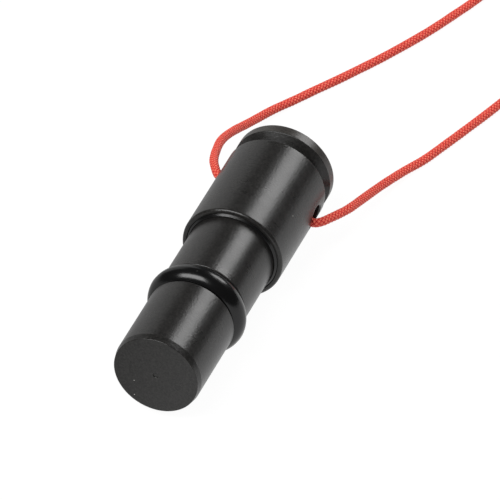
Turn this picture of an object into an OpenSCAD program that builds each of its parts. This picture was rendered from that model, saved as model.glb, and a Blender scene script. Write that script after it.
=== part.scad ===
// Turned pocket reed call with a pull-off cap and a braided neck cord.
// Millimetres, +Z up. The call lies on its side along Y: the closed end of the
// cap faces -Y and the sound outlet faces +Y. Stations along the axis are
// counted from the closed end.

/* [Overall] */
// Whole length of the call, closed end to sound outlet
total_len = 72.8; // [68:0.1:90]
// Outside diameter of the barrel
barrel_d = 22; // [21.6:0.1:27]
// Outside diameter of the cap and of the neck
neck_d = 18.7; // [17.6:0.1:19.2]

/* [Cap] */
// Length of the cap, closed end to mouth
cap_len = 19.5; // [16:0.1:24]
// Thickness of the cap's closed end
cap_floor = 3.2; // [2:0.1:4]
// Length of the slight taper at the closed end
cap_taper_len = 1.45; // [0.8:0.05:2]
// Depth of the taper at the end face
cap_taper = 0.3; // [0.1:0.05:0.5]
// Diameter of the turning mark at the centre of the closed end
pip_d = 1.2; // [0.6:0.1:2]
// Depth of the turning mark
pip_depth = 0.2; // [0.1:0.05:0.4]
// Radial gap between the cap's bore and the mouthpiece
cap_gap = 0.3; // [0.2:0.05:0.5]

/* [Mouthpiece] */
// Outside diameter of the mouthpiece
mouthpiece_d = 11; // [10:0.1:12]
// Air bore through the mouthpiece
air_bore_d = 6.5; // [5:0.1:7]
// Clear space between the mouthpiece's tip and the cap's floor
tip_gap = 1.3; // [0.5:0.1:2]
// Length of mouthpiece that is pressed into the neck
mouthpiece_seat = 8.7; // [6:0.1:10]
// Distance of the cap seal behind the tip
seal_offset = 7.5; // [5:0.1:9]
// Thickness of the cap seal's rubber
seal_section = 1.2; // [1:0.05:1.5]

/* [Grip ring] */
// Thickness of the large grip ring's rubber
grip_section = 5.6; // [4.5:0.1:6]
// Height of the grip ring above the neck
grip_proud = 1.3; // [0.8:0.1:1.6]
// Gap between the cap's mouth and the grip ring
grip_gap = 0.2; // [0.1:0.05:0.5]

/* [Neck and reed] */
// Length of the neck inside the barrel
neck_insert = 12.1; // [11:0.1:14]
// Bore of the neck's reed chamber
reed_chamber_d = 13; // [12:0.1:13.5]
// Bore of the reed holder
holder_bore_d = 10; // [9:0.1:10.5]
// Length of the reed holder
holder_len = 17; // [14:0.1:17.5]
// Width of the reed
reed_w = 5; // [4:0.1:6]
// Thickness of the reed
reed_t = 0.2; // [0.1:0.05:0.3]
// Free length of the reed ahead of its clamp
reed_free = 9.5; // [7:0.1:10]
// Length of the reed's tail under the wedge
reed_tail = 3; // [2:0.1:4]
// Width of the air trough in the tone board
trough_w = 3.6; // [2.5:0.1:4]
// Depth of the air trough in the tone board
trough_depth = 2.6; // [1.5:0.1:3]
// Slope of the tone board away from the reed, in degrees
table_slope = 2.5; // [1.5:0.1:4]
// Thickness of the slide rings' rubber
slide_section = 1.5; // [1.2:0.05:1.8]

/* [Barrel] */
// Station of the barrel's front face
barrel_front = 41.9; // [40:0.1:44]
// Radius of the rounded edge at the barrel's front
barrel_edge_r = 0.65; // [0.4:0.05:0.9]
// Thickness of the mouth ring's rubber
mouth_section = 0.65; // [0.5:0.05:0.8]
// Height of the mouth ring's lip in front of the barrel
mouth_proud = 0.45; // [0.3:0.05:0.6]
// Depth of the barrel's slide bore
slide_depth = 15.6; // [15:0.1:17]
// Sound bore behind the slide bore
sound_bore_d = 12; // [10:0.1:12.4]
// Bore of the sound outlet
outlet_bore_d = 13; // [12.6:0.1:13.6]
// Depth of the sound outlet
outlet_depth = 6; // [5:0.1:7]
// Length of the rim at the sound outlet
rim_len = 2.5; // [2:0.1:4]
// Depth of the rim below the barrel's surface
rim_drop = 0.2; // [0:0.05:0.5]
// Width of the finger groove in front of the rim
groove_w = 3.3; // [2.8:0.1:4]
// Depth of the finger groove below the barrel's surface
groove_depth = 2.4; // [1.5:0.1:2.6]
// Slope of the groove's rear flank from the axis, in degrees
groove_slope = 54; // [44:1:60]

/* [Neck cord] */
// Diameter of the cord
cord_d = 1.9; // [1.6:0.1:2.6]
// Diameter of the cord's cross hole
cord_hole_d = 5.6; // [4:0.1:6]
// Distance of the cross hole's centre from the outlet
cord_hole_back = 11; // [10.6:0.1:13]
// Turn of the cross hole about the barrel's axis, in degrees
cord_hole_turn = 12; // [0:1:20]
// Depth of the countersink at each end of the cross hole
cord_hole_edge = 0.3; // [0.1:0.05:0.5]
// Turns of cord in each layer of the coil
coil_turns = 4; // [3:1:5]
// Radius of the innermost turn of the coil
coil_inner_r = 8.2; // [7.5:0.1:11]
// Width of the coil's tie
tie_w = 3; // [2:0.1:4]
// Thickness of the coil's tie
tie_t = 0.5; // [0.3:0.1:0.8]
// Diameter of the knot
knot_d = 8; // [7:0.1:10]

/* [Hidden] */
$fn = 96;
hole_facets = 48;

fit_gap = 0.05;
ring_fit_gap = 0.03;
squeeze = 0.05;
over = 1;

axis_h = barrel_d / 2;
barrel_r = barrel_d / 2;
neck_r = neck_d / 2;
mouthpiece_r = mouthpiece_d / 2;
air_bore_r = air_bore_d / 2;
cap_bore_r = mouthpiece_r + cap_gap;

grip_r = grip_section / 2;
grip_centre_r = min(neck_r + grip_proud - grip_r, mouthpiece_r + grip_r - 2 * squeeze);
grip_floor_r = grip_centre_r - grip_r + squeeze;
grip_station = cap_len + grip_gap + grip_r;
neck_front = grip_station + grip_r;

tip_station = cap_floor + tip_gap;
mouthpiece_end = neck_front + mouthpiece_seat;
seal_r = seal_section / 2;
seal_station = tip_station + seal_offset;
seal_centre_r = cap_bore_r - fit_gap - seal_r;
seal_floor_r = seal_centre_r - seal_r + squeeze;
seal_side = 0.3;

slide_bore_r = neck_r + fit_gap;
neck_end = barrel_front + neck_insert;
slide_r = slide_section / 2;
slide_centre_r = slide_bore_r - ring_fit_gap - slide_r;
slide_floor_r = slide_centre_r - slide_r + squeeze;
slide_pitch = 3.4;
rear_slide_station = neck_end - 1.8;
front_slide_station = rear_slide_station - slide_pitch;

chamber_r = max(reed_chamber_d / 2, mouthpiece_r);
holder_bore_r = holder_bore_d / 2;
holder_end = neck_end - 1;
holder_front = holder_end - holder_len;
board_end = holder_end - 0.5;
clamp_line = board_end - 6;
board_front = clamp_line - reed_free - 0.8;
tail_gap = 0.15;
table_drop = 0.1;

mouth_inner_r = neck_r + ring_fit_gap;
mouth_outer_r = mouth_inner_r + mouth_section;
mouth_seat = 0.5;
mouth_lip = barrel_front - mouth_proud;
mouth_shoulder = mouth_lip + 0.9 * mouth_section;

rim_front = total_len - rim_len;
groove_front = rim_front - groove_w;
groove_floor_r = barrel_r - groove_depth;
slide_bore_end = barrel_front + slide_depth;
outlet_start = total_len - outlet_depth;
cord_hole_station = total_len - cord_hole_back;
rim_edge_r = 0.5;
rim_r = barrel_r - rim_drop;
flank_front = rim_front - (rim_r - groove_floor_r) / tan(groove_slope);

// The cord's routes are drawn for this barrel and cord, with the cross hole here.
route_barrel_d = 22;
route_cord_d = 1.9;
route_hole_y = 25.4;

// The point p of a route, moved and stretched to suit the barrel as it is set.
function laid(p) = [
    p[0] * barrel_d / route_barrel_d,
    p[1] + cord_hole_station - total_len / 2 - route_hole_y,
    cord_d / 2 + (p[2] - route_cord_d / 2) * (barrel_d - cord_d) / (route_barrel_d - route_cord_d)
];

// Route of the cord's left leg, from the middle of the barrel to the coil.
left_route = [
    [0, 25, 11], [-5, 25.1, 12], [-8.6, 25.3, 12.85], [-10.9, 25.9, 13.2],
    [-12.15, 27.6, 13.2], [-13.7, 30.4, 12.7], [-14.6, 33, 12.1],
    [-15.5, 36.4, 11], [-16.4, 40.7, 9.7], [-16.8, 45, 8.1], [-16.6, 49.8, 6.3],
    [-16.2, 54.8, 4.2], [-15.4, 60, 2.45], [-13.8, 65.2, 1.45],
    [-11, 70.4, 1.05], [-8.2, 75.2, 1], [-5.1, 80.2, 1],
    [-2.2, 85.2, 1], [1.6, 92, 1], [7, 103, 1], [11.5, 114, 1.05],
    [17, 127, 1.25], [27.5, 137, 1.45], [42, 139.4, 1.55]
];
// Route of the cord's right leg, from the middle of the barrel to the knot.
right_route = [
    [0, 25, 11], [5, 24.6, 9.9], [8.6, 24.2, 8.95], [10.75, 24.15, 8.35],
    [12.2, 25.2, 8.2], [13.45, 27.4, 8], [14.6, 30, 7.6], [15.6, 33.05, 7.05],
    [16.4, 40, 5.05], [17.4, 47.5, 3], [19.35, 54.95, 1.65], [21.75, 60.85, 1.1],
    [23.9, 66.9, 1], [26.4, 74, 1], [29.2, 82, 1.1], [32.4, 91, 1.65],
    [36, 100.5, 2.4]
];
left_points = [for (p = left_route) laid(p)];
right_points = [for (p = right_route) laid(p)];
coil_centre = [left_points[len(left_route) - 1][0],
    left_points[len(left_route) - 1][1] - coil_inner_r - (coil_turns - 1) * cord_d];
coil_lift = tie_t + 0.1;
coil_outer_r = coil_inner_r + (coil_turns - 1) * cord_d;
coil_layers = 2;
coil_h = coil_layers * cord_d;
knot_at = [right_points[len(right_route) - 1][0] + 0.8,
    right_points[len(right_route) - 1][1] + 1, knot_d / 2];
tie_angle = 20;

// A point on the smooth curve between b and c, for t from 0 to 1.
function between(a, b, c, d, t) =
    (2 * b + (c - a) * t + (2 * a - 5 * b + 4 * c - d) * t * t
    + (3 * b - a - 3 * c + d) * t * t * t) / 2;

// The route with one more point half way along each stretch.
function smooth(p) = let (last = len(p) - 1) [
    for (i = [0:last - 1])
        for (t = [0, 0.5])
            between(p[max(i - 1, 0)], p[i], p[i + 1], p[min(i + 2, last)], t),
    p[last]
];

function unit(v) = v / norm(v);

// The direction of the route at point i.
function heading(p, i) = unit(p[min(i + 1, len(p) - 1)] - p[max(i - 1, 0)]);

// The corners of the eight-sided ring around point i.
function ring(p, i, r) =
    let (ahead = heading(p, i), side = unit(cross(ahead, [0, 0, 1])), up = cross(side, ahead))
    [for (k = [0:7]) p[i] + r * (side * cos(45 * k) + up * sin(45 * k))];

// A tube of radius r swept along the points p.
module tube(p, r) {
    rings = len(p);
    corners = [for (i = [0:rings - 1]) each ring(p, i, r)];
    walls = [
        for (i = [0:rings - 2])
            for (k = [0:7])
                let (a = 8 * i + k, b = 8 * i + (k + 1) % 8)
                each [[a, b, b + 8], [a, b + 8, a + 8]]
    ];
    start = [[for (k = [7:-1:0]) k]];
    finish = [[for (k = [0:7]) 8 * (rings - 1) + k]];
    polyhedron(corners, concat(start, walls, finish));
}

// Stands a turned profile, radius against station, on the call's axis.
module turned() {
    translate([0, -total_len / 2, axis_h])
        rotate([-90, 0, 0])
            rotate_extrude()
                children();
}

// A block of the profile from radius r0 to r1 and from station s0 to s1.
module band(r0, r1, s0, s1) {
    translate([r0, s0]) square([r1 - r0, s1 - s0]);
}

// The round section of a rubber ring.
module section(centre_r, station, r) {
    translate([centre_r, station]) circle(r);
}

// The corner that is cut away in front of an outer edge to round it.
module round_front(r, s, edge) {
    difference() {
        band(r - edge, r + over, s - over, s + edge);
        translate([r - edge, s + edge]) circle(edge);
    }
}

// The same at an outer edge that faces the outlet.
module round_back(r, s, edge) {
    difference() {
        band(r - edge, r + over, s - edge, s + over);
        translate([r - edge, s - edge]) circle(edge);
    }
}

// A straight block on the call's axis, low at station s0 and height z0.
module inner_block(w, s0, s1, z0, z1) {
    translate([-w / 2, s0 - total_len / 2, axis_h + z0])
        cube([w, s1 - s0, z1 - z0]);
}

module cap() {
    color("#1d1d1f") turned() difference() {
        band(0, neck_r, 0, cap_len);
        band(-over, cap_bore_r, cap_floor, cap_len + over);
        polygon([
            [neck_r - cap_taper, 0], [neck_r, cap_taper_len],
            [neck_r + over, cap_taper_len], [neck_r + over, -over], [neck_r - cap_taper, -over]
        ]);
        round_back(neck_r, cap_len, 0.25);
        band(-over, pip_d / 2, -over, pip_depth);
    }
}

module cap_seal_ring() {
    color("#101010") turned() section(seal_centre_r, seal_station, seal_r);
}

module mouthpiece() {
    color("#242426") turned() difference() {
        band(air_bore_r, mouthpiece_r, tip_station, mouthpiece_end);
        round_front(mouthpiece_r, tip_station, 1);
        band(seal_floor_r, mouthpiece_r + over,
            seal_station - seal_r - seal_side, seal_station + seal_r + seal_side);
        band(grip_floor_r, mouthpiece_r + over, cap_len + grip_gap, neck_front);
    }
}

module grip_ring() {
    color("#0e0e0f") turned() section(grip_centre_r, grip_station, grip_r);
}

module neck() {
    color("#1d1d1f") turned() difference() {
        band(mouthpiece_r, neck_r, neck_front, neck_end);
        band(0, chamber_r, mouthpiece_end, neck_end + over);
        round_front(neck_r, neck_front, 0.25);
        round_back(neck_r, neck_end, 0.4);
        for (s = [front_slide_station, rear_slide_station])
            band(slide_floor_r, neck_r + over, s - slide_r - 0.1, s + slide_r + 0.1);
    }
}

module front_slide_ring() {
    color("#101010") turned() section(slide_centre_r, front_slide_station, slide_r);
}

module rear_slide_ring() {
    color("#101010") turned() section(slide_centre_r, rear_slide_station, slide_r);
}

module reed_holder() {
    color("#2b2b2d") turned() band(holder_bore_r, chamber_r, holder_front, holder_end);
}

module tone_board() {
    color("#e4dfd0") difference() {
        turned() band(0, holder_bore_r, board_front, board_end);
        inner_block(reed_chamber_d, board_front - over, board_end + over,
            -table_drop, chamber_r);
        translate([0, clamp_line - total_len / 2, axis_h - table_drop])
            rotate([table_slope, 0, 0])
                translate([-chamber_r, -2 * reed_free, 0])
                    cube([reed_chamber_d, 2 * reed_free, chamber_r]);
        inner_block(reed_w + 1, clamp_line, clamp_line + reed_tail + tail_gap,
            -table_drop - tail_gap, chamber_r);
        inner_block(trough_w, board_front + 2, board_end + over,
            -table_drop - trough_depth, chamber_r);
    }
}

module reed() {
    color("#c8a24a")
        inner_block(reed_w, clamp_line - reed_free, clamp_line + reed_tail, 0, reed_t);
}

module reed_wedge() {
    color("#b98a5a") difference() {
        turned() band(0, holder_bore_r, clamp_line, board_end);
        inner_block(reed_chamber_d, clamp_line - over, board_end + over,
            -chamber_r, -table_drop);
        inner_block(reed_w + 1, clamp_line - over, clamp_line + reed_tail + tail_gap,
            -over, reed_t + tail_gap);
    }
}

// The groove's section: a straight front wall, a flat floor and a sloping flank.
module finger_groove() {
    polygon([
        [groove_floor_r, groove_front], [barrel_r + over, groove_front],
        [barrel_r + over, rim_front], [rim_r, rim_front], [groove_floor_r, flank_front]
    ]);
}

// The cross hole's section along its own axis, with a countersink at each end.
module cross_hole() {
    r = cord_hole_d / 2;
    edge = barrel_r - cord_hole_edge;
    polygon([
        [0, -barrel_r - over], [r + cord_hole_edge + over, -barrel_r - over],
        [r, -edge], [r, edge],
        [r + cord_hole_edge + over, barrel_r + over], [0, barrel_r + over]
    ]);
}

module barrel() {
    color("#1d1d1f") difference() {
        turned() difference() {
            band(0, barrel_r, barrel_front, total_len);
            band(-over, slide_bore_r, barrel_front - over, slide_bore_end);
            band(-over, sound_bore_d / 2, barrel_front, total_len + over);
            band(-over, outlet_bore_d / 2, outlet_start, total_len + over);
            band(rim_r, barrel_r + over, rim_front, total_len + over);
            finger_groove();
            band(-over, mouth_outer_r, barrel_front - over, barrel_front + mouth_seat);
            round_front(barrel_r, barrel_front,
                min(barrel_edge_r, barrel_r - mouth_outer_r - 0.05));
            round_back(rim_r, total_len, rim_edge_r);
        }
        translate([0, cord_hole_station - total_len / 2, axis_h])
            rotate([0, 90 + cord_hole_turn, 0])
                rotate_extrude($fn = hole_facets)
                    cross_hole();
    }
}

module mouth_ring() {
    color("#0e0e0f") turned() polygon([
        [mouth_inner_r, mouth_lip], [mouth_inner_r, barrel_front + mouth_seat],
        [mouth_outer_r, barrel_front + mouth_seat], [mouth_outer_r, mouth_shoulder]
    ]);
}

module cord_left_leg() {
    color("#d8301f") tube(smooth(left_points), cord_d / 2);
}

module cord_right_leg() {
    color("#d8301f") tube(smooth(right_points), cord_d / 2);
}

module cord_coil() {
    color("#d8301f")
        translate([coil_centre[0], coil_centre[1], coil_lift])
            rotate_extrude()
                band(coil_inner_r - cord_d / 2, coil_outer_r + cord_d / 2, 0, coil_h);
}

module coil_tie() {
    inner = coil_inner_r - cord_d / 2;
    width = coil_outer_r + cord_d / 2 - inner;
    color("#202020")
        translate([coil_centre[0], coil_centre[1], coil_lift])
            rotate([0, 0, tie_angle])
                difference() {
                    translate([inner - tie_t, -tie_w / 2, -tie_t])
                        cube([width + 2 * tie_t, tie_w, coil_h + 2 * tie_t]);
                    difference() {
                        cylinder(r = inner + width, h = coil_h);
                        translate([0, 0, -over]) cylinder(r = inner, h = coil_h + 2 * over);
                    }
                }
}

module cord_knot() {
    color("#d8301f") translate(knot_at) sphere(d = knot_d);
}

cap();
cap_seal_ring();
mouthpiece();
grip_ring();
neck();
front_slide_ring();
rear_slide_ring();
reed_holder();
tone_board();
reed();
reed_wedge();
barrel();
mouth_ring();
cord_left_leg();
cord_right_leg();
cord_coil();
coil_tie();
cord_knot();
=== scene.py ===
import math

import bmesh
import bpy
import numpy as np
from mathutils import Matrix, Vector


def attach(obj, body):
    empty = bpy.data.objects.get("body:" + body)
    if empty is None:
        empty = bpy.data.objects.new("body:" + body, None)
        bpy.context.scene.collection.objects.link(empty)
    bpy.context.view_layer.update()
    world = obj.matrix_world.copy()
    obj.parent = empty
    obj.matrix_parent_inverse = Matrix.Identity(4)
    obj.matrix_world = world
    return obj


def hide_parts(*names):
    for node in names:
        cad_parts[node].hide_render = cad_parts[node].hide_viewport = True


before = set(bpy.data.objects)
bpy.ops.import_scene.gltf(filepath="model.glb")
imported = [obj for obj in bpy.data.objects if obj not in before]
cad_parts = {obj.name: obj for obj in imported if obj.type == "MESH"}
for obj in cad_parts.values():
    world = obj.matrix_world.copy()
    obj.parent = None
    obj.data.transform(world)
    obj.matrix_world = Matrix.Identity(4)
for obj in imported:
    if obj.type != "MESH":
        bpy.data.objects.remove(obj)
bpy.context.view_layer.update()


# ---------------------------------------------------------------------------
# The camera. It looks down on the call from in front of the closed end, from
# far enough away that the turned shoulders stay nearly parallel.
# ---------------------------------------------------------------------------
look_at = Vector((0.005949, 0.0006, 0.017334))
camera_azimuth = math.radians(21.254)
camera_elevation = math.radians(38.762)
camera_back = Vector((
    math.sin(camera_azimuth) * math.cos(camera_elevation),
    -math.cos(camera_azimuth) * math.cos(camera_elevation),
    math.sin(camera_elevation),
))
camera_data = bpy.data.cameras.new("camera")
camera_data.sensor_width = 36
camera_data.lens = 530.3
camera_data.clip_start = 0.05
camera_data.clip_end = 20
camera = bpy.data.objects.new("camera", camera_data)
camera.location = look_at + camera_back * 1.5
camera.rotation_mode = "QUATERNION"
camera.rotation_quaternion = (-camera_back).to_track_quat("-Z", "Y")
bpy.context.scene.collection.objects.link(camera)
bpy.context.scene.camera = camera
bpy.context.scene.view_settings.view_transform = "Standard"


# ---------------------------------------------------------------------------
# The barrel. Turned from black acetal rod, 22 mm across: a slide bore, a sound
# bore, a rounded mouth, and a finger groove whose rear flank slopes up to the
# rim. The cross hole for the cord is drilled and lightly countersunk.
# ---------------------------------------------------------------------------
total_length = 0.0728
axis_height = 0.011
barrel_radius = 0.011
barrel_front = 0.0419
barrel_edge = 0.00065
rim_front = 0.0703
rim_radius = 0.0108
rim_edge = 0.0005
groove_front = 0.067
groove_floor = 0.0086
flank_front = 0.0687
mouth_seat_radius = 0.01003
mouth_seat_end = barrel_front + 0.0005
slide_bore = 0.0094
slide_bore_end = 0.0575
sound_bore = 0.006
outlet_bore = 0.0065
outlet_start = total_length - 0.006
hole_radius = 0.0028
hole_station = 0.0618
hole_turn = math.radians(12)
hole_facets = 64
countersink_start = 0.0107
drill_reach = 0.0135
# How far the edges of turned pieces are rounded, from keen to well broken.
edge_keen = 0.00008
edge_crisp = 0.0001
edge_light = 0.00015
edge_eased = 0.0002
edge_broken = 0.0003
plastic_black = (0.0060, 0.0058, 0.0056, 1)
plastic_worn = (0.0270, 0.0257, 0.0243, 1)
rim_black = (0.022, 0.020, 0.0185, 1)
rim_worn = (0.056, 0.050, 0.045, 1)
pale_dust = (0.62, 0.60, 0.57, 1)


def placed(tree, kind, **settings):
    """A node of that kind in the tree, with its settings and inputs filled in."""
    node = tree.nodes.new(kind)
    for key, value in settings.items():
        if hasattr(node, key):
            setattr(node, key, value)
        else:
            node.inputs[key.replace("_", " ")].default_value = value
    return node


def new_finish(name):
    """An empty material with its shader and output joined."""
    finish = bpy.data.materials.new(name)
    finish.use_nodes = True
    tree = finish.node_tree
    tree.nodes.clear()
    shader = tree.nodes.new("ShaderNodeBsdfPrincipled")
    out = tree.nodes.new("ShaderNodeOutputMaterial")
    tree.links.new(shader.outputs["BSDF"], out.inputs["Surface"])
    return finish, tree, shader


def maths(tree, operation, a, b=None, c=None, clamp=False):
    """A Math node over sockets or plain numbers; gives its value socket."""
    node = tree.nodes.new("ShaderNodeMath")
    node.operation = operation
    node.use_clamp = clamp
    for socket, value in zip(node.inputs, (a, b, c)):
        if value is None:
            continue
        if isinstance(value, (int, float)):
            socket.default_value = value
        else:
            tree.links.new(value, socket)
    return node.outputs[0]


def blended(tree, factor, a, b):
    """A colour between a and b, each a colour or a socket."""
    node = tree.nodes.new("ShaderNodeMix")
    node.data_type = "RGBA"
    tree.links.new(factor, node.inputs[0])
    for socket, value in ((node.inputs[6], a), (node.inputs[7], b)):
        if isinstance(value, tuple):
            socket.default_value = value
        else:
            tree.links.new(value, socket)
    return node.outputs[2]


def rounded_profile(corners, closed):
    """A turned outline from its corners (station, radius, rounding), each
    rounded by its own radius, with a narrow facing either side so that the
    flats stay flat. Gives (station, radius, how near an edge)."""
    points = []
    count = len(corners)
    for i, (s, r, rounding) in enumerate(corners):
        if not closed and i in (0, count - 1) or rounding <= 0:
            points.append((s, r, 0.0))
            continue
        here = np.array((s, r))
        before = np.array(corners[i - 1][:2])
        after = np.array(corners[(i + 1) % count][:2])
        u = (before - here) / np.linalg.norm(before - here)
        v = (after - here) / np.linalg.norm(after - here)
        opening = math.acos(np.clip(np.dot(u, v), -1, 1))
        reach = rounding / math.tan(opening / 2)
        centre = here + (u + v) / np.linalg.norm(u + v) * rounding / math.sin(opening / 2)
        start, end = here + u * reach, here + v * reach
        facing = min(0.00006, rounding * 0.4)
        points.append((*(start + u * facing), 0.0))
        steps = 5 if rounding < 0.0003 else 10
        a0 = math.atan2(*(start - centre)[::-1])
        sweep = math.atan2(*(end - centre)[::-1]) - a0
        sweep = (sweep + math.pi) % (2 * math.pi) - math.pi
        for k in range(steps + 1):
            angle = a0 + sweep * k / steps
            middle = 1 - abs(2 * k / steps - 1) * 0.5
            points.append((centre[0] + rounding * math.cos(angle),
                           centre[1] + rounding * math.sin(angle), middle))
        points.append((*(end + v * facing), 0.0))
    return points


def turned_piece(name, profile, closed, around=256):
    """A solid turned about the call's axis from a profile of (station,
    radius, edge). An open profile starts and ends on the axis."""
    verts, edge, rows = [], [], []
    for s, r, e in profile:
        y = s - total_length / 2
        if r < 1e-6:
            rows.append([len(verts)] * around)
            verts.append((0, y, axis_height))
            edge.append(e)
            continue
        rows.append(list(range(len(verts), len(verts) + around)))
        for k in range(around):
            angle = 2 * math.pi * k / around
            verts.append((r * math.sin(angle), y, axis_height + r * math.cos(angle)))
            edge.append(e)
    faces = []
    pairs = list(zip(rows, rows[1:])) + ([(rows[-1], rows[0])] if closed else [])
    for one, two in pairs:
        for k in range(around):
            m = (k + 1) % around
            face = []
            for v in (one[k], one[m], two[m], two[k]):
                if v not in face:
                    face.append(v)
            if len(face) > 2:
                faces.append(face)
    mesh = bpy.data.meshes.new(name)
    mesh.from_pydata(verts, [], faces)
    mesh.attributes.new("edge", "FLOAT", "POINT").data.foreach_set("value", edge)
    build = bmesh.new()
    build.from_mesh(mesh)
    bmesh.ops.recalc_face_normals(build, faces=build.faces)
    build.to_mesh(mesh)
    build.free()
    mesh.polygons.foreach_set("use_smooth", [True] * len(mesh.polygons))
    piece = bpy.data.objects.new(name, mesh)
    bpy.context.scene.collection.objects.link(piece)
    return piece


def group_of(name, takes, gives):
    """A node group with named inputs and outputs; gives the group, its input
    node and its output node."""
    group = bpy.data.node_groups.new(name, "ShaderNodeTree")
    for label, kind, value in takes:
        socket = group.interface.new_socket(label, in_out="INPUT", socket_type=kind)
        if value is not None:
            socket.default_value = value
    for label, kind in gives:
        group.interface.new_socket(label, in_out="OUTPUT", socket_type=kind)
    return group, group.nodes.new("NodeGroupInput"), group.nodes.new("NodeGroupOutput")


# The fine rings that the cutting tool leaves: along a turned side they follow
# the station, and over a faced end they follow the radius.
turning_lines, inside, outside = group_of(
    "turning_lines",
    [("Position", "NodeSocketVector", None), ("Lines per metre", "NodeSocketFloat", 5000.0),
     ("Axis height", "NodeSocketFloat", 0.011)],
    [("Height", "NodeSocketFloat"), ("Streak", "NodeSocketFloat")])
apart = turning_lines.nodes.new("ShaderNodeSeparateXYZ")
turning_lines.links.new(inside.outputs["Position"], apart.inputs[0])
rise = maths(turning_lines, "SUBTRACT", apart.outputs["Z"], inside.outputs["Axis height"])
upright = maths(turning_lines, "MULTIPLY", rise, rise)
sideways = maths(turning_lines, "MULTIPLY", apart.outputs["X"], apart.outputs["X"])
far = maths(turning_lines, "SQRT", maths(turning_lines, "ADD", upright, sideways))
run = maths(turning_lines, "ADD", far, apart.outputs["Y"])
cut = placed(turning_lines, "ShaderNodeTexNoise", noise_dimensions="1D", Detail=2.0, Scale=1.0)
counted = maths(turning_lines, "MULTIPLY", run, inside.outputs["Lines per metre"])
turning_lines.links.new(counted, cut.inputs["W"])
slow = placed(turning_lines, "ShaderNodeTexNoise", noise_dimensions="1D", Detail=3.0, Scale=1.0)
turning_lines.links.new(maths(turning_lines, "MULTIPLY", run, 620.0), slow.inputs["W"])
turning_lines.links.new(cut.outputs["Fac"], outside.inputs["Height"])
turning_lines.links.new(slow.outputs["Fac"], outside.inputs["Streak"])

# A few specks of pale dust and lint that settle on dark parts.
dust_specks, inside, outside = group_of(
    "dust_specks",
    [("Position", "NodeSocketVector", None), ("Cells per metre", "NodeSocketFloat", 420.0),
     ("Speck", "NodeSocketFloat", 0.06), ("Share", "NodeSocketFloat", 0.1)],
    [("Mask", "NodeSocketFloat")])
cells = placed(dust_specks, "ShaderNodeTexVoronoi")
dust_specks.links.new(inside.outputs["Position"], cells.inputs["Vector"])
dust_specks.links.new(inside.outputs["Cells per metre"], cells.inputs["Scale"])
pick = dust_specks.nodes.new("ShaderNodeSeparateColor")
dust_specks.links.new(cells.outputs["Color"], pick.inputs[0])
chosen = maths(dust_specks, "LESS_THAN", pick.outputs[0], inside.outputs["Share"])
size = maths(dust_specks, "MULTIPLY", inside.outputs["Speck"],
             maths(dust_specks, "ADD", pick.outputs[1], 0.4))
away = maths(dust_specks, "DIVIDE", cells.outputs["Distance"], size)
near = maths(dust_specks, "SUBTRACT", 1.0, away, clamp=True)
soft_near = maths(dust_specks, "MULTIPLY", near, 2.5, clamp=True)
dust_specks.links.new(maths(dust_specks, "MULTIPLY", soft_near, chosen), outside.inputs["Mask"])

# Edges that fingers and pockets have polished: strongest on the rounding,
# broken up a little so that it doesn't run evenly round the piece.
edge_polish, inside, outside = group_of(
    "edge_polish",
    [("Edge", "NodeSocketFloat", 0.0), ("Position", "NodeSocketVector", None),
     ("Amount", "NodeSocketFloat", 0.6)],
    [("Mask", "NodeSocketFloat")])
patchy = placed(edge_polish, "ShaderNodeTexNoise", Scale=700.0, Detail=3.0)
edge_polish.links.new(inside.outputs["Position"], patchy.inputs["Vector"])
broken = maths(edge_polish, "MULTIPLY_ADD", patchy.outputs["Fac"], 1.6, -0.25, clamp=True)
rubbed = maths(edge_polish, "MULTIPLY", inside.outputs["Edge"], broken)
edge_polish.links.new(maths(edge_polish, "MULTIPLY", rubbed, inside.outputs["Amount"]),
                      outside.inputs["Mask"])

# The grain of a surface a little rougher than it looks.
fine_grain, inside, outside = group_of(
    "fine_grain",
    [("Position", "NodeSocketVector", None), ("Grains per metre", "NodeSocketFloat", 2300.0)],
    [("Height", "NodeSocketFloat"), ("Cloud", "NodeSocketFloat")])
grain = placed(fine_grain, "ShaderNodeTexNoise", Detail=2.0, Roughness=0.6)
fine_grain.links.new(inside.outputs["Position"], grain.inputs["Vector"])
fine_grain.links.new(inside.outputs["Grains per metre"], grain.inputs["Scale"])
cloud = placed(fine_grain, "ShaderNodeTexNoise", Scale=180.0, Detail=4.0)
fine_grain.links.new(inside.outputs["Position"], cloud.inputs["Vector"])
fine_grain.links.new(grain.outputs["Fac"], outside.inputs["Height"])
fine_grain.links.new(cloud.outputs["Fac"], outside.inputs["Cloud"])


def group_node(tree, group, place, **values):
    """The group placed in a material, fed with the position and its values."""
    node = tree.nodes.new("ShaderNodeGroup")
    node.node_tree = group
    tree.links.new(place, node.inputs["Position"])
    for key, value in values.items():
        node.inputs[key.replace("_", " ")].default_value = value
    return node


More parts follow.
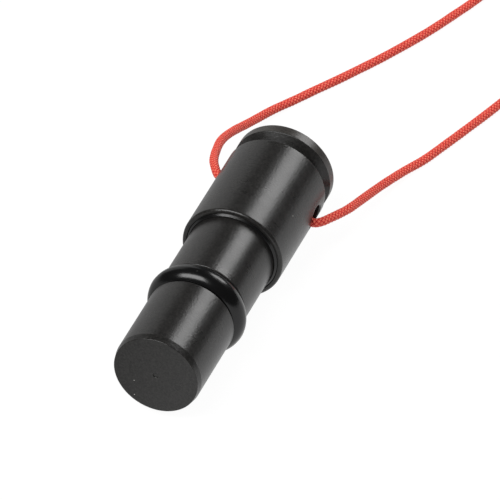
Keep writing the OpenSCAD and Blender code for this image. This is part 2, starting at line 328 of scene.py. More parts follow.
def turned_plastic(name, roughness, line_depth=0.000004, grain_depth=0.00003, lines=5200.0,
                   dust=0.06, colour=plastic_black, worn=plastic_worn):
    """Machined black plastic with its turning lines, grain, polish and dust."""
    finish, tree, shader = new_finish(name)
    place = placed(tree, "ShaderNodeTexCoord").outputs["Object"]
    edge = placed(tree, "ShaderNodeAttribute", attribute_name="edge").outputs["Fac"]
    rings = group_node(tree, turning_lines, place, Lines_per_metre=lines)
    grains = group_node(tree, fine_grain, place)
    polish = group_node(tree, edge_polish, place)
    tree.links.new(edge, polish.inputs["Edge"])
    specks = group_node(tree, dust_specks, place, Share=dust)
    mottle = maths(tree, "MULTIPLY_ADD", grains.outputs["Height"], 2.4, -0.85, clamp=True)
    tone = blended(tree, mottle, colour, worn)
    tone = blended(tree, maths(tree, "MULTIPLY", rings.outputs["Streak"], 0.35), tone, worn)
    tone = blended(tree, maths(tree, "MULTIPLY", polish.outputs["Mask"], 0.5), tone, worn)
    tone = blended(tree, specks.outputs["Mask"], tone, pale_dust)
    tree.links.new(tone, shader.inputs["Base Color"])
    rough = maths(tree, "MULTIPLY_ADD", grains.outputs["Cloud"], 0.10, roughness - 0.05)
    rough = maths(tree, "SUBTRACT", rough, 0.03)
    rough = maths(tree, "MULTIPLY_ADD", rings.outputs["Streak"], 0.06, rough)
    smoother = maths(tree, "MULTIPLY", polish.outputs["Mask"], 0.1)
    rough = maths(tree, "SUBTRACT", rough, smoother, clamp=True)
    dusty = maths(tree, "MULTIPLY", specks.outputs["Mask"], 0.9)
    rough = maths(tree, "MAXIMUM", rough, dusty)
    tree.links.new(rough, shader.inputs["Roughness"])
    lines_bump = placed(tree, "ShaderNodeBump", Strength=1.0, Distance=line_depth)
    tree.links.new(rings.outputs["Height"], lines_bump.inputs["Height"])
    grain_bump = placed(tree, "ShaderNodeBump", Strength=1.0, Distance=grain_depth)
    tree.links.new(grains.outputs["Height"], grain_bump.inputs["Height"])
    tree.links.new(lines_bump.outputs["Normal"], grain_bump.inputs["Normal"])
    tree.links.new(grain_bump.outputs["Normal"], shader.inputs["Normal"])
    shader.inputs["IOR"].default_value = 1.45
    return finish


barrel_profile = rounded_profile([
    (barrel_front, mouth_seat_radius, edge_keen), (barrel_front, barrel_radius, barrel_edge),
    (groove_front, barrel_radius, edge_light), (groove_front, groove_floor, edge_eased),
    (flank_front, groove_floor, edge_broken), (rim_front, rim_radius, edge_eased),
    (total_length, rim_radius, rim_edge), (total_length, outlet_bore, edge_broken),
    (outlet_start, outlet_bore, edge_crisp), (outlet_start, sound_bore, edge_light),
    (slide_bore_end, sound_bore, edge_light), (slide_bore_end, slide_bore, edge_eased),
    (mouth_seat_end, slide_bore, edge_crisp), (mouth_seat_end, mouth_seat_radius, edge_keen),
], closed=True)
barrel = turned_piece("barrel_shell", barrel_profile, closed=True, around=320)

# The drill that cuts the cross hole, with a 45 degree flare at both ends.
drill = bmesh.new()
drill_flare = hole_radius + drill_reach - countersink_start
ring_rows = []
for x, r in ((-drill_reach, drill_flare), (-countersink_start, hole_radius),
             (countersink_start, hole_radius), (drill_reach, drill_flare)):
    row = []
    for k in range(hole_facets):
        angle = 2 * math.pi * k / hole_facets
        row.append(drill.verts.new((x, r * math.cos(angle), r * math.sin(angle))))
    ring_rows.append(row)
for one, two in zip(ring_rows, ring_rows[1:]):
    for k in range(hole_facets):
        m = (k + 1) % hole_facets
        drill.faces.new((one[k], one[m], two[m], two[k]))
drill.faces.new(ring_rows[0][::-1])
drill.faces.new(ring_rows[-1])
bmesh.ops.recalc_face_normals(drill, faces=drill.faces)
drill_mesh = bpy.data.meshes.new("cross_drill")
drill.to_mesh(drill_mesh)
drill.free()
cross_drill = bpy.data.objects.new("cross_drill", drill_mesh)
cross_drill.location = (0, hole_station - total_length / 2, axis_height)
cross_drill.rotation_euler = (0, hole_turn, 0)
bpy.context.scene.collection.objects.link(cross_drill)
bore = barrel.modifiers.new("cross_hole", "BOOLEAN")
bore.operation = "DIFFERENCE"
bore.solver = "EXACT"
bore.object = cross_drill
bpy.context.view_layer.update()
cut_barrel = barrel.evaluated_get(bpy.context.evaluated_depsgraph_get())
drilled = bpy.data.meshes.new_from_object(cut_barrel)
barrel.modifiers.clear()
barrel.data = drilled
bpy.data.objects.remove(cross_drill)
drilled.polygons.foreach_set("use_smooth", [True] * len(drilled.polygons))
drilled.set_sharp_from_angle(angle=math.radians(28))

# The rim's rear faces are paler and duller, from standing and rubbing.
scuff_start = rim_front - total_length / 2 + 0.0002
scuff_inside = rim_radius - 0.0006
barrel_plastic = turned_plastic("turned_black_plastic", 0.29)
rim_plastic = turned_plastic("scuffed_rim", 0.33, grain_depth=0.000012, dust=0.3,
                             colour=rim_black, worn=rim_worn)
barrel.data.materials.clear()
barrel.data.materials.append(barrel_plastic)
barrel.data.materials.append(rim_plastic)
for face in drilled.polygons:
    x, y, z = face.center
    if y > scuff_start and math.hypot(x, z - axis_height) > scuff_inside:
        face.material_index = 1
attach(barrel, "barrel_body")
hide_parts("barrel")


# ---------------------------------------------------------------------------
# The mouth ring. A small moulded nitrile wiper ring, pressed into the
# barrel's mouth, whose sloping face closes the gap round the neck.
# ---------------------------------------------------------------------------
rubber_black = (0.003, 0.003, 0.0031, 1)
rubber_bloom = (0.007, 0.007, 0.0072, 1)
rubber_dust = (0.6, 0.58, 0.55, 1)
mouth_ring_inside = 0.00938
mouth_ring_lip = 0.04145
mouth_ring_shoulder = 0.042035
lip_edge = 0.00012


def rubber_ring(name, centre_radius, station, section, body, node, flash=0.00003):
    """A moulded ring: a round section with a fine raised flash line round
    its outside, where the halves of its mould met."""
    profile = []
    half = section / 2
    for k in range(72):
        angle = 2 * math.pi * k / 72
        lift = flash * max(math.exp(-(angle / 0.045) ** 2),
                           math.exp(-((angle - 2 * math.pi) / 0.045) ** 2))
        profile.append((station + half * math.sin(angle),
                        centre_radius + (half - flash + lift) * math.cos(angle), 0.0))
    ring = turned_piece(name, profile, closed=True)
    ring.data.materials.append(ring_rubber)
    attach(ring, body)
    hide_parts(node)


ring_rubber, tree, shader = new_finish("moulded_rubber")
place = placed(tree, "ShaderNodeTexCoord").outputs["Object"]
grains = group_node(tree, fine_grain, place, Grains_per_metre=5200.0)
specks = group_node(tree, dust_specks, place, Share=0.22, Cells_per_metre=520.0, Speck=0.05)
bloomed = maths(tree, "MULTIPLY", grains.outputs["Cloud"], 0.7)
tone = blended(tree, bloomed, rubber_black, rubber_bloom)
tone = blended(tree, specks.outputs["Mask"], tone, rubber_dust)
tree.links.new(tone, shader.inputs["Base Color"])
rough = maths(tree, "MULTIPLY_ADD", grains.outputs["Cloud"], 0.12, 0.14)
tree.links.new(maths(tree, "MAXIMUM", rough, maths(tree, "MULTIPLY", specks.outputs["Mask"], 0.9)),
               shader.inputs["Roughness"])
rubber_bump = placed(tree, "ShaderNodeBump", Strength=1.0, Distance=0.000008)
tree.links.new(grains.outputs["Height"], rubber_bump.inputs["Height"])
tree.links.new(rubber_bump.outputs["Normal"], shader.inputs["Normal"])
shader.inputs["IOR"].default_value = 1.44

mouth_ring_profile = rounded_profile([
    (mouth_ring_lip, mouth_ring_inside, lip_edge),
    (mouth_ring_shoulder, mouth_seat_radius, edge_crisp),
    (mouth_seat_end, mouth_seat_radius, edge_keen), (mouth_seat_end, mouth_ring_inside, edge_keen),
], closed=True)
mouth_ring = turned_piece("barrel_mouth_ring", mouth_ring_profile, closed=True)
mouth_ring.data.materials.append(ring_rubber)
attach(mouth_ring, "barrel_body")
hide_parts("mouth_ring")


# ---------------------------------------------------------------------------
# The neck. The same black plastic, turned to slide in the barrel: a long
# plain side, a reed chamber bored from the back, and two ring grooves near
# its end that hold the thin slide rings.
# ---------------------------------------------------------------------------
neck_radius = 0.00935
neck_front = 0.0253
neck_front_edge = 0.00025
neck_end = 0.054
lead_in = 0.0004
chamber_radius = 0.0065
mouthpiece_radius = 0.0055
mouthpiece_end = 0.034
slide_floor = 0.00792
front_slide = 0.0488
rear_slide = 0.0522
slide_half = 0.00085
slide_centre = 0.00862
slide_section = 0.0015
faint_flash = 0.00001
neck_corners = [
    (neck_front, mouthpiece_radius, edge_crisp), (neck_front, neck_radius, neck_front_edge),
]
for station in (front_slide, rear_slide):
    start, end = station - slide_half, station + slide_half
    neck_corners += [(start, neck_radius, edge_crisp), (start, slide_floor, edge_crisp),
                     (end, slide_floor, edge_crisp), (end, neck_radius, edge_crisp)]
neck_corners += [
    (neck_end, neck_radius, lead_in), (neck_end, chamber_radius, edge_eased),
    (mouthpiece_end, chamber_radius, edge_eased), (mouthpiece_end, mouthpiece_radius, edge_crisp),
]
neck_profile = rounded_profile(neck_corners, closed=True)
neck = turned_piece("neck_tube", neck_profile, closed=True)
neck.data.materials.append(barrel_plastic)
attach(neck, "neck_body")
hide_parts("neck")
rubber_ring("front_slide_seal", slide_centre, front_slide, slide_section, "neck_body",
            "front_slide_ring", faint_flash)
rubber_ring("rear_slide_seal", slide_centre, rear_slide, slide_section, "neck_body",
            "rear_slide_ring", faint_flash)


# ---------------------------------------------------------------------------
# The reed unit. A turned holder pressed into the neck carries a moulded tone
# board; a thin brass reed lies over its trough and a cork wedge clamps it.
# ---------------------------------------------------------------------------
holder_front = 0.036
holder_end = 0.053
holder_radius = 0.0065
holder_bore = 0.005
sleeve_black = (0.02, 0.02, 0.021, 1)
board_shade = (0.70, 0.65, 0.53, 1)
board_light = (0.80, 0.76, 0.66, 1)
brass_shade = (0.62, 0.40, 0.13, 1)
brass_light = (0.80, 0.58, 0.24, 1)
cork_shade = (0.46, 0.26, 0.12, 1)
cork_light = (0.62, 0.41, 0.22, 1)
cork_pit = (0.12, 0.05, 0.02, 1)
holder_profile = rounded_profile([
    (holder_front, holder_bore, edge_crisp), (holder_front, holder_radius, edge_broken),
    (holder_end, holder_radius, edge_eased), (holder_end, holder_bore, edge_broken),
], closed=True)
reed_holder = turned_piece("reed_holder_sleeve", holder_profile, closed=True, around=192)
holder_plastic = turned_plastic("sleeve_plastic", 0.42, lines=3800.0, dust=0.0,
                                colour=sleeve_black)
reed_holder.data.materials.append(holder_plastic)
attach(reed_holder, "neck_body")
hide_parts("reed_holder")


def small_edges(node, finish, width):
    """The CAD piece with its edges eased and its own finish."""
    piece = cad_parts[node]
    piece.data.materials.clear()
    piece.data.materials.append(finish)
    ease = piece.modifiers.new("eased_edges", "BEVEL")
    ease.width = width
    ease.segments = 3
    ease.limit_method = "ANGLE"
    ease.angle_limit = math.radians(35)
    ease.harden_normals = True


board_finish, tree, shader = new_finish("moulded_tone_board")
place = placed(tree, "ShaderNodeTexCoord").outputs["Object"]
grains = group_node(tree, fine_grain, place, Grains_per_metre=2600.0)
tone = blended(tree, grains.outputs["Cloud"], board_shade, board_light)
tree.links.new(tone, shader.inputs["Base Color"])
rough = maths(tree, "MULTIPLY_ADD", grains.outputs["Height"], 0.2, 0.22)
tree.links.new(rough, shader.inputs["Roughness"])
board_bump = placed(tree, "ShaderNodeBump", Strength=0.6, Distance=0.00001)
tree.links.new(grains.outputs["Height"], board_bump.inputs["Height"])
tree.links.new(board_bump.outputs["Normal"], shader.inputs["Normal"])
small_edges("tone_board", board_finish, 0.00012)

reed_finish, tree, shader = new_finish("rolled_brass")
place = placed(tree, "ShaderNodeTexCoord").outputs["Object"]
drawn = placed(tree, "ShaderNodeMapping")
drawn.inputs["Scale"].default_value = (9000, 260, 9000)
tree.links.new(place, drawn.inputs["Vector"])
rolled = placed(tree, "ShaderNodeTexNoise", Scale=1.0, Detail=3.0)
tree.links.new(drawn.outputs["Vector"], rolled.inputs["Vector"])
tone = blended(tree, rolled.outputs["Fac"], brass_shade, brass_light)
tree.links.new(tone, shader.inputs["Base Color"])
rough = maths(tree, "MULTIPLY_ADD", rolled.outputs["Fac"], 0.22, 0.18)
tree.links.new(rough, shader.inputs["Roughness"])
shader.inputs["Metallic"].default_value = 1.0
reed_bump = placed(tree, "ShaderNodeBump", Strength=0.5, Distance=0.000004)
tree.links.new(rolled.outputs["Fac"], reed_bump.inputs["Height"])
tree.links.new(reed_bump.outputs["Normal"], shader.inputs["Normal"])
small_edges("reed", reed_finish, 0.00003)

cork_finish, tree, shader = new_finish("pressed_cork")
place = placed(tree, "ShaderNodeTexCoord").outputs["Object"]
crumbs = placed(tree, "ShaderNodeTexVoronoi", Scale=1500.0)
tree.links.new(place, crumbs.inputs["Vector"])
pores = placed(tree, "ShaderNodeTexNoise", Scale=3600.0, Detail=3.0)
tree.links.new(place, pores.inputs["Vector"])
crumb_tone = tree.nodes.new("ShaderNodeSeparateColor")
tree.links.new(crumbs.outputs["Color"], crumb_tone.inputs[0])
tone = blended(tree, crumb_tone.outputs[0], cork_shade, cork_light)
pit = maths(tree, "LESS_THAN", pores.outputs["Fac"], 0.38)
tone = blended(tree, maths(tree, "MULTIPLY", pit, 0.7), tone, cork_pit)
tree.links.new(tone, shader.inputs["Base Color"])
rough = maths(tree, "MULTIPLY_ADD", pores.outputs["Fac"], 0.2, 0.7)
tree.links.new(rough, shader.inputs["Roughness"])
cork_bump = placed(tree, "ShaderNodeBump", Strength=0.8, Distance=0.00008)
tree.links.new(maths(tree, "SUBTRACT", pores.outputs["Fac"], pit), cork_bump.inputs["Height"])
tree.links.new(cork_bump.outputs["Normal"], shader.inputs["Normal"])
small_edges("reed_wedge", cork_finish, 0.00008)


# ---------------------------------------------------------------------------
# The mouthpiece. A slimmer turned tube pressed into the neck, with a rounded
# tip, a narrow groove for the cap's seal and a wide one for the grip ring.
# ---------------------------------------------------------------------------
tip_station = 0.0045
tip_edge = 0.001
air_bore = 0.00325
seal_station = 0.012
seal_half = 0.0009
seal_front = seal_station - seal_half
seal_back = seal_station + seal_half
seal_floor = 0.0046
seal_centre = 0.00515
seal_section = 0.0012
grip_seat_front = 0.0197
grip_seat_floor = 0.0051
mouthpiece_profile = rounded_profile([
    (tip_station, air_bore, edge_broken), (tip_station, mouthpiece_radius, tip_edge),
    (seal_front, mouthpiece_radius, edge_crisp), (seal_front, seal_floor, edge_crisp),
    (seal_back, seal_floor, edge_crisp), (seal_back, mouthpiece_radius, edge_crisp),
    (grip_seat_front, mouthpiece_radius, edge_crisp), (grip_seat_front, grip_seat_floor, edge_crisp),
    (neck_front, grip_seat_floor, edge_crisp), (neck_front, mouthpiece_radius, edge_crisp),
    (mouthpiece_end, mouthpiece_radius, edge_eased), (mouthpiece_end, air_bore, edge_eased),
], closed=True)
mouthpiece = turned_piece("mouthpiece_tube", mouthpiece_profile, closed=True)
mouth_plastic = turned_plastic("mouthpiece_plastic", 0.28, line_depth=0.000006, dust=0.04)
mouthpiece.data.materials.append(mouth_plastic)
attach(mouthpiece, "neck_body")
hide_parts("mouthpiece")
rubber_ring("cap_seal", seal_centre, seal_station, seal_section, "neck_body", "cap_seal_ring",
            faint_flash)


# ---------------------------------------------------------------------------
# The grip ring. The stoutest rubber ring, stretched over the mouthpiece
# against the neck's front face; it stands proud so that a finger can pull.
# ---------------------------------------------------------------------------
grip_centre = 0.00785
grip_station = 0.0225
grip_section = 0.0056
rubber_ring("grip_ring_rubber", grip_centre, grip_station, grip_section, "neck_body", "grip_ring")


# ---------------------------------------------------------------------------
# The cap. Turned from the same rod as the neck and closed at one end. Its
# end is faced off matt, with the small mark where the centre was parted.
# ---------------------------------------------------------------------------
cap_length = 0.0195
cap_bore = 0.0058
cap_floor = 0.0032
mark_depth = 0.0002
mark_radius = 0.0006
mark_edge = 0.00012
taper_length = 0.00145
taper_drop = 0.0003
taper_edge = 0.0004
cap_mouth_edge = 0.00025
cap_profile = rounded_profile([
    (mark_depth, 0.0, 0.0), (mark_depth, mark_radius, edge_keen), (0.0, mark_radius, mark_edge),
    (0.0, neck_radius - taper_drop, edge_light), (taper_length, neck_radius, taper_edge),
    (cap_length, neck_radius, cap_mouth_edge), (cap_length, cap_bore, edge_broken),
    (cap_floor, cap_bore, edge_broken), (cap_floor, 0.0, 0.0),
], closed=False)
cap = turned_piece("cap_shell", cap_profile, closed=False)
cap.data.materials.append(barrel_plastic)
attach(cap, "cap_body")
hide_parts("cap")


# ---------------------------------------------------------------------------
# The neck cord. A limp polyester cord, braided with six strands each way and
# threaded through the barrel's cross hole. Its two legs run over the table to
# a tied coil of the spare length and an overhand knot that joins the ends.
# ---------------------------------------------------------------------------
cord_diameter = 0.0019
braid_strands = 6
braid_lay = 0.0054
strand_floor = 0.88
strand_height = 0.15
left_route = [
    (0, 25, 11), (-5, 25.1, 12), (-8.6, 25.3, 12.85), (-10.9, 25.9, 13.2),
    (-12.15, 27.6, 13.2), (-13.7, 30.4, 12.7), (-14.6, 33, 12.1),
    (-15.5, 36.4, 11), (-16.4, 40.7, 9.7), (-16.8, 45, 8.1), (-16.6, 49.8, 6.3),
    (-16.2, 54.8, 4.2), (-15.4, 60, 2.45), (-13.8, 65.2, 1.45),
    (-11, 70.4, 1.05), (-8.2, 75.2, 1), (-5.1, 80.2, 1),
    (-2.2, 85.2, 1), (1.6, 92, 1), (7, 103, 1), (11.5, 114, 1.05),
    (17, 127, 1.25), (27.5, 137, 1.45), (42, 139.4, 1.55),
]
right_route = [
    (0, 25, 11), (5, 24.6, 9.9), (8.6, 24.2, 8.95), (10.75, 24.15, 8.35),
    (12.2, 25.2, 8.2), (13.45, 27.4, 8), (14.6, 30, 7.6), (15.6, 33.05, 7.05),
    (16.4, 40, 5.05), (17.4, 47.5, 3), (19.35, 54.95, 1.65), (21.75, 60.85, 1.1),
    (23.9, 66.9, 1), (26.4, 74, 1), (29.2, 82, 1.1), (32.4, 91, 1.65),
    (36, 100.5, 2.4),
]
coil_centre = (0.042, 0.1255)
coil_inner_radius = 0.0082
coil_turns = 4
coil_lift = 0.0006
points_per_turn = 72
crossing = 0.2
knot_place = Vector((0.0368, 0.1015, 0.0032))


def smooth_route(points, steps):
    """The curve through points given in millimetres, as the cord lies."""
    p = np.array(points, float) / 1000
    p = np.vstack([p[0], p, p[-1]])
    line = []
    for i in range(1, len(p) - 2):
        a, b, c, d = p[i - 1], p[i], p[i + 1], p[i + 2]
        for t in np.arange(steps) / steps:
            line.append((2 * b + (c - a) * t + (2 * a - 5 * b + 4 * c - d) * t ** 2
                         + (3 * b - a - 3 * c + d) * t ** 3) / 2)
    line.append(p[-2])
    return np.array(line)


def spaced(line, step):
    """The same line with its points at even spacing."""
    run = np.concatenate([[0], np.cumsum(np.linalg.norm(np.diff(line, axis=0), axis=1))])
    count = max(2, int(round(run[-1] / step)) + 1)
    at = np.linspace(0, run[-1], count)
    return np.stack([np.interp(at, run, line[:, k]) for k in range(3)], 1), run[-1]


def relaxed(line, passes):
    """A line with its small kinks let out, its two ends kept."""
    line = line.copy()
    for _ in range(passes):
        line[1:-1] = 0.5 * line[1:-1] + 0.25 * (line[:-2] + line[2:])
    return line


def wound_coil(last_turn):
    """The turns of the coil: the lower layer runs inwards, the cord rolls up
    over itself on the inside, and the upper layer runs outwards."""
    line = []
    d = cord_diameter
    outer = coil_inner_radius + (coil_turns - 1) * d
    total = 2 * coil_turns - 1 + last_turn
    for step in range(int(total * points_per_turn) + 1):
        turn = step / points_per_turn
        lap = int(turn)
        shift = max(0.0, (turn - lap - (1 - crossing)) / crossing)
        shift = shift * shift * (3 - 2 * shift)
        low = coil_lift + d / 2
        if lap < coil_turns - 1:
            radius, height = outer - (lap + shift) * d, low
        elif lap == coil_turns - 1:
            radius = coil_inner_radius - 0.8 * d * 0.5 * math.sin(math.pi * shift)
            height = low + shift * d
        else:
            radius = coil_inner_radius + min(lap - coil_turns + shift, coil_turns - 1) * d
            height = low + d
        angle = 2 * math.pi * turn
        line.append((coil_centre[0] + radius * math.sin(angle),
                     coil_centre[1] + radius * math.cos(angle), height))
    return np.array(line)


def braided_cord(name, line, around, step):
    """A tube along the line whose surface stands up in strands that cross
    over and under each other. Its corners keep the count of strands passed
    each way round, so that the finish can follow the braid."""
    line, length = spaced(line, step)
    ahead = np.gradient(line, axis=0)
    ahead /= np.linalg.norm(ahead, axis=1)[:, None]
    side = np.zeros_like(line)
    first = np.cross(ahead[0], (0, 0, 1))
    side[0] = first / np.linalg.norm(first)
    for i in range(1, len(line)):
        s = side[i - 1] - ahead[i] * np.dot(side[i - 1], ahead[i])
        side[i] = s / np.linalg.norm(s)
    up = np.cross(ahead, side)
    turn = np.arange(around) / around
    along = np.linspace(0, length, len(line))
    lay, round_ = np.meshgrid(along, turn, indexing="ij")
    a = round_ * braid_strands + lay / braid_lay * braid_strands
    b = round_ * braid_strands - lay / braid_lay * braid_strands
    over = np.mod(np.floor(a) + np.floor(b), 2) < 0.5
    across = np.where(over, np.mod(a, 1), np.mod(b, 1))
    down = np.where(over, np.mod(b, 1), np.mod(a, 1))
    crown = (1 - (2 * across - 1) ** 2) ** 0.7 * (0.35 + 0.65 * np.sin(np.pi * down))
    radius = cord_diameter / 2 * (strand_floor + strand_height * crown)
    radius *= 1 + 0.012 * np.sin(lay * 900 + 2 * np.sin(lay * 310))
    angle = 2 * np.pi * round_
    outward = np.cos(angle)[..., None] * side[:, None] + np.sin(angle)[..., None] * up[:, None]
    points = line[:, None] + radius[..., None] * outward
    n = len(line)
    i, k = np.meshgrid(np.arange(n - 1), np.arange(around), indexing="ij")
    k2 = (k + 1) % around
    faces = np.stack([i * around + k, i * around + k2, (i + 1) * around + k2,
                      (i + 1) * around + k], -1).reshape(-1, 4).tolist()
    ends = [line[0] - ahead[0] * 0.0004, line[-1] + ahead[-1] * 0.0004]
    verts = np.vstack([points.reshape(-1, 3), ends]).tolist()
    last = (n - 1) * around
    for m in range(around):
        faces.append([n * around, (m + 1) % around, m])
        faces.append([n * around + 1, last + m, last + (m + 1) % around])
    mesh = bpy.data.meshes.new(name)
    mesh.from_pydata(verts, [], faces)
    mesh.polygons.foreach_set("use_smooth", [True] * len(mesh.polygons))
    right_of = (k + 1) / around
    corners = []
    for row, place in ((i, k / around), (i, right_of), (i + 1, right_of), (i + 1, k / around)):
        far = along[row] / braid_lay * braid_strands
        wide = place * braid_strands
        corners.append(np.stack([wide + far, wide - far, far], -1))
    corners = np.stack(corners, 2).reshape(-1, 3)
    corners = np.vstack([corners, np.zeros((6 * around, 3))])
    lay_at = mesh.attributes.new("lay", "FLOAT_VECTOR", "CORNER")
    lay_at.data.foreach_set("vector", corners.astype(np.float32).ravel())
    piece = bpy.data.objects.new(name, mesh)
    bpy.context.scene.collection.objects.link(piece)
    return piece, line, length


cord_red = (0.98, 0.040, 0.026, 1)
# Painted highlight: the pale red painted onto the strand crowns.
cord_painted_highlight = (1.0, 0.27, 0.17, 1)
# Painted shade: the deep red painted into the valleys between the strands.
cord_painted_shade = (0.50, 0.004, 0.010, 1)

braid_finish, tree, shader = new_finish("braided_polyester")
counted = placed(tree, "ShaderNodeAttribute", attribute_name="lay")
lay = tree.nodes.new("ShaderNodeSeparateXYZ")
tree.links.new(counted.outputs["Vector"], lay.inputs[0])
one_way, other_way = lay.outputs["X"], lay.outputs["Y"]
one_count = maths(tree, "FLOOR", one_way)
other_count = maths(tree, "FLOOR", other_way)
under = maths(tree, "FLOORED_MODULO", maths(tree, "ADD", one_count, other_count), 2.0)
over = maths(tree, "SUBTRACT", 1.0, under)


def whichever(a, b):
    """The value a where the first strands lie on top, else b."""
    return maths(tree, "ADD", maths(tree, "MULTIPLY", a, over),
                 maths(tree, "MULTIPLY", b, under))


one_part = maths(tree, "SUBTRACT", one_way, one_count)
other_part = maths(tree, "SUBTRACT", other_way, other_count)
across = whichever(one_part, other_part)
down = whichever(other_part, one_part)
one_strand = maths(tree, "FLOORED_MODULO", one_count, float(braid_strands))
other_strand = maths(tree, "FLOORED_MODULO", other_count, float(braid_strands))
strand = whichever(one_strand, maths(tree, "ADD", 20.0, other_strand))
centred = maths(tree, "MULTIPLY_ADD", across, 2.0, -1.0)
arch = maths(tree, "SUBTRACT", 1.0, maths(tree, "MULTIPLY", centred, centred), clamp=True)
rise = maths(tree, "SINE", maths(tree, "MULTIPLY", down, math.pi))
crown = maths(tree, "MULTIPLY", maths(tree, "POWER", arch, 0.7),
              maths(tree, "MULTIPLY_ADD", rise, 0.7, 0.3))
threads = tree.nodes.new("ShaderNodeCombineXYZ")
tree.links.new(maths(tree, "MULTIPLY", across, 7.0), threads.inputs["X"])
tree.links.new(maths(tree, "MULTIPLY", lay.outputs["Z"], 1.3), threads.inputs["Y"])
tree.links.new(maths(tree, "MULTIPLY", strand, 5.3), threads.inputs["Z"])
fibre = placed(tree, "ShaderNodeTexNoise", Scale=1.0, Detail=3.0, Roughness=0.6)
tree.links.new(threads.outputs[0], fibre.inputs["Vector"])
# Painted shade: the valleys between the strands are painted deep red, although the strands also
# stand up for real in the mesh and the bump.
painted_valley_shade = maths(tree, "POWER", maths(tree, "SUBTRACT", 1.0, crown, clamp=True), 1.3)
# Painted highlight: the strand crowns, speckled by the fibres, are painted a paler red.
painted_crown_highlight = maths(tree, "MULTIPLY", maths(tree, "POWER", crown, 2.2),
            maths(tree, "MULTIPLY_ADD", fibre.outputs["Fac"], 2.2, -0.45, clamp=True))
tone = blended(tree, painted_valley_shade, cord_red, cord_painted_shade)
tone = blended(tree, maths(tree, "MULTIPLY", painted_crown_highlight, 1.25, clamp=True), tone, cord_painted_highlight)
tree.links.new(tone, shader.inputs["Base Color"])
rough = maths(tree, "MULTIPLY_ADD", fibre.outputs["Fac"], 0.3, 0.36)
tree.links.new(rough, shader.inputs["Roughness"])
strand_bump = placed(tree, "ShaderNodeBump", Strength=1.0, Distance=0.00012)
relief = maths(tree, "MULTIPLY_ADD", fibre.outputs["Fac"], 0.3, crown)
tree.links.new(relief, strand_bump.inputs["Height"])
tree.links.new(strand_bump.outputs["Normal"], shader.inputs["Normal"])
shader.inputs["Specular IOR Level"].default_value = 0.35
shader.inputs["Sheen Weight"].default_value = 0.08
shader.inputs["Sheen Roughness"].default_value = 0.5
shader.inputs["Sheen Tint"].default_value = (1.0, 0.3, 0.22, 1)

leaves_coil_at = 0.416
into_knot_left = knot_place + Vector((0.002, 0.001, 0.0004))
into_knot_right = knot_place + Vector((-0.001, -0.001, -0.0006))
coil_line = wound_coil(leaves_coil_at)
left_line = np.vstack([smooth_route(left_route, 10), coil_line[1:], into_knot_left[:]])
left_line, _ = spaced(left_line, 0.0004)
left_line = relaxed(left_line, 6)
cord_left, left_path, left_length = braided_cord("cord_left", left_line, 32, 0.00024)
right_line, _ = spaced(smooth_route(right_route, 10), 0.0004)
right_line = np.vstack([right_line, into_knot_right[:]])
cord_right, right_path, right_length = braided_cord("cord_right", right_line, 40, 0.0002)
for piece in (cord_left, cord_right):
    piece.data.materials.append(braid_finish)


def overhand(turn):
    """The way of both cord ends through one overhand knot."""
    t = turn * 2 * math.pi
    return (0.00135 * (math.sin(t) + 2 * math.sin(2 * t)),
            0.0011 * (math.cos(t) - 2 * math.cos(2 * t)),
            -0.0011 * math.sin(3 * t))


# The two short ends stand out of the knot and droop onto the table.
tail_ways = (
    ((0.8, -0.4, 0.6), (1.6, -2.4, 0.2), (2.0, -4.4, -1.0), (2.6, -6.6, -1.9),
     (3.8, -9.4, -2.2)),
    ((-0.8, -0.4, 0.2), (-1.9, -2.2, -0.4), (-3.4, -3.8, -1.4), (-5.4, -5.2, -2.1),
     (-8.2, -6.4, -2.2)),
)
knot_line = np.array([overhand(i / 120) for i in range(4, 117)]) + np.array(knot_place)
knot, _, _ = braided_cord("cord_end_knot", knot_line, 32, 0.0003)
for way in tail_ways:
    tail_line = smooth_route(way, 10) + np.array(knot_place)
    tail, _, _ = braided_cord("cord_tail", tail_line, 32, 0.0003)
    with bpy.context.temp_override(active_object=knot, selected_editable_objects=[knot, tail]):
        bpy.ops.object.join()
knot.data.materials.append(braid_finish)

# The tie. A soft black plastic strap with thickened edges, which wraps the
# coil's turns once and closes on itself.
tie_width = 0.003
tie_thickness = 0.0005
tie_bend = 0.0009
tie_angle = math.radians(20)
strap_black = (0.012, 0.012, 0.013, 1)
strap_worn = (0.035, 0.034, 0.036, 1)
strap_section = ((-1, 0.05), (-0.92, 0.9), (-0.8, 1), (-0.4, 0.92), (0, 0.96),
                 (0.4, 0.92), (0.8, 1), (0.92, 0.9), (1, 0.05))
tie_in = coil_inner_radius - cord_diameter / 2
tie_out = coil_inner_radius + (coil_turns - 1) * cord_diameter + cord_diameter / 2
tie_high = 2 * cord_diameter
tie_loop = []
for corner_x, corner_z, start in ((tie_out, tie_high, 0), (tie_in, tie_high, 90),
                                  (tie_in, 0, 180), (tie_out, 0, 270)):
    cx = corner_x - tie_bend if corner_x == tie_out else corner_x + tie_bend
    cz = corner_z - tie_bend if corner_z == tie_high else corner_z + tie_bend
    for step in range(9):
        angle = math.radians(start + 90 * step / 8)
        tie_loop.append((cx, cz, math.cos(angle), math.sin(angle)))
tie_rows = []
for cx, cz, nx, nz in tie_loop:
    row = []
    for across, lift in strap_section:
        out = tie_bend + tie_thickness * lift
        row.append((cx + nx * out, across * tie_width / 2, cz + nz * out))
    for across in (1, 0, -1):
        row.append((cx + nx * tie_bend, across * tie_width / 2, cz + nz * tie_bend))
    tie_rows.append(row)
tie_points, tie_faces = [], []
turn_x = (math.cos(tie_angle), math.sin(tie_angle))
for row in tie_rows:
    for x, y, z in row:
        tie_points.append((coil_centre[0] + x * turn_x[0] - y * turn_x[1],
                           coil_centre[1] + x * turn_x[1] + y * turn_x[0], coil_lift + z))
wide = len(tie_rows[0])
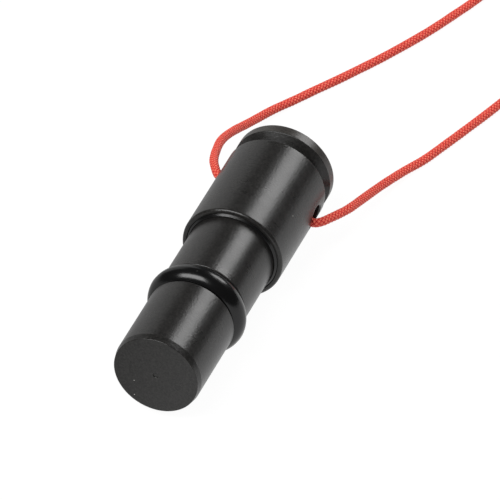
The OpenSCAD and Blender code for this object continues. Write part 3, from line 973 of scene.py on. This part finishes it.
for i in range(len(tie_rows)):
    j = (i + 1) % len(tie_rows)
    for k in range(wide):
        m = (k + 1) % wide
        tie_faces.append((i * wide + k, j * wide + k, j * wide + m, i * wide + m))
tie_mesh = bpy.data.meshes.new("coil_strap")
tie_mesh.from_pydata(tie_points, [], tie_faces)
tie_mesh.polygons.foreach_set("use_smooth", [True] * len(tie_mesh.polygons))
coil_strap = bpy.data.objects.new("coil_strap", tie_mesh)
bpy.context.scene.collection.objects.link(coil_strap)
strap_finish, tree, shader = new_finish("soft_strap")
place = placed(tree, "ShaderNodeTexCoord").outputs["Object"]
ribs = placed(tree, "ShaderNodeTexNoise", Scale=4200.0, Detail=2.0)
tree.links.new(place, ribs.inputs["Vector"])
tone = blended(tree, ribs.outputs["Fac"], strap_black, strap_worn)
tree.links.new(tone, shader.inputs["Base Color"])
rough = maths(tree, "MULTIPLY_ADD", ribs.outputs["Fac"], 0.2, 0.5)
tree.links.new(rough, shader.inputs["Roughness"])
strap_bump = placed(tree, "ShaderNodeBump", Strength=0.4, Distance=0.00005)
tree.links.new(ribs.outputs["Fac"], strap_bump.inputs["Height"])
tree.links.new(strap_bump.outputs["Normal"], shader.inputs["Normal"])
coil_strap.data.materials.append(strap_finish)

for piece in (cord_left, cord_right, knot, coil_strap):
    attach(piece, "barrel_body")
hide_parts("cord_left_leg", "cord_coil")
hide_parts("cord_right_leg")
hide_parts("cord_knot")
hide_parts("coil_tie")


# ---------------------------------------------------------------------------
# The table and the studio. A pale table top that glows evenly white to the camera, with
# painted shade to the left in reflections; a soft box behind the call, a broad one above
# and in front of it, and a dim wall to the left.
# ---------------------------------------------------------------------------
table_half = 6
light_distance = 2.2
table_mesh = bpy.data.meshes.new("table_top")
table_mesh.from_pydata([(-table_half, -table_half, 0), (table_half, -table_half, 0),
                        (table_half, table_half, 0), (-table_half, table_half, 0)],
                       [], [(0, 1, 2, 3)])
table_top = bpy.data.objects.new("table_top", table_mesh)
bpy.context.scene.collection.objects.link(table_top)
table_finish, tree, shader = new_finish("pale_table")
shader.inputs["Base Color"].default_value = (0.07, 0.07, 0.07, 1)
shader.inputs["Emission Strength"].default_value = 1.0
place = placed(tree, "ShaderNodeTexCoord").outputs["Object"]
apart = tree.nodes.new("ShaderNodeSeparateXYZ")
tree.links.new(place, apart.inputs[0])
# Painted shade: in reflections the table glows less to the left of the call, in place of the shade
# the call casts there; to the camera it glows evenly white.
painted_left_shade = placed(tree, "ShaderNodeMapRange", interpolation_type="SMOOTHSTEP",
                 From_Min=-0.024, From_Max=0.012, To_Min=0.46, To_Max=0.84)
tree.links.new(apart.outputs["X"], painted_left_shade.inputs["Value"])
seen = tree.nodes.new("ShaderNodeLightPath").outputs["Is Camera Ray"]
unseen = maths(tree, "SUBTRACT", 1.0, seen)
glow_with_painted_shade = maths(tree, "ADD", maths(tree, "MULTIPLY", seen, 0.96),
             maths(tree, "MULTIPLY", unseen, painted_left_shade.outputs[0]))
shade = tree.nodes.new("ShaderNodeCombineXYZ")
for k in range(3):
    tree.links.new(glow_with_painted_shade, shade.inputs[k])
tree.links.new(shade.outputs[0], shader.inputs["Emission Color"])
shader.inputs["Roughness"].default_value = 0.9
shader.inputs["Specular IOR Level"].default_value = 0.0
table_top.data.materials.append(table_finish)


def soft_light(name, direction, width, length, brightness):
    """A flat soft light that faces the call, its length in line with it."""
    lamp = bpy.data.lights.new(name, "AREA")
    lamp.shape = "RECTANGLE"
    lamp.size = width
    lamp.size_y = length
    lamp.energy = brightness * math.pi * width * length
    holder = bpy.data.objects.new(name, lamp)
    away = Vector(direction).normalized()
    across = Vector((0, 1, 0)).cross(away).normalized()
    up = away.cross(across)
    place = away * light_distance
    holder.matrix_world = Matrix((
        (across.x, up.x, away.x, place.x),
        (across.y, up.y, away.y, place.y),
        (across.z, up.z, away.z, place.z),
        (0, 0, 0, 1)))
    bpy.context.scene.collection.objects.link(holder)


soft_light("back_softbox", (0.333, 0.727, 0.601), width=0.95, length=1.3, brightness=5.9)
soft_light("front_softbox", (-0.300, -0.503, 0.811), width=1.87, length=1.08, brightness=7.8)
soft_light("left_wall", (-0.623, 0.727, 0.29), width=1.5, length=1.6, brightness=0.55)
studio = bpy.data.worlds.new("studio")
studio.use_nodes = True
studio.node_tree.nodes["Background"].inputs["Color"].default_value = (1, 1, 1, 1)
studio.node_tree.nodes["Background"].inputs["Strength"].default_value = 0.06
bpy.context.scene.world = studio
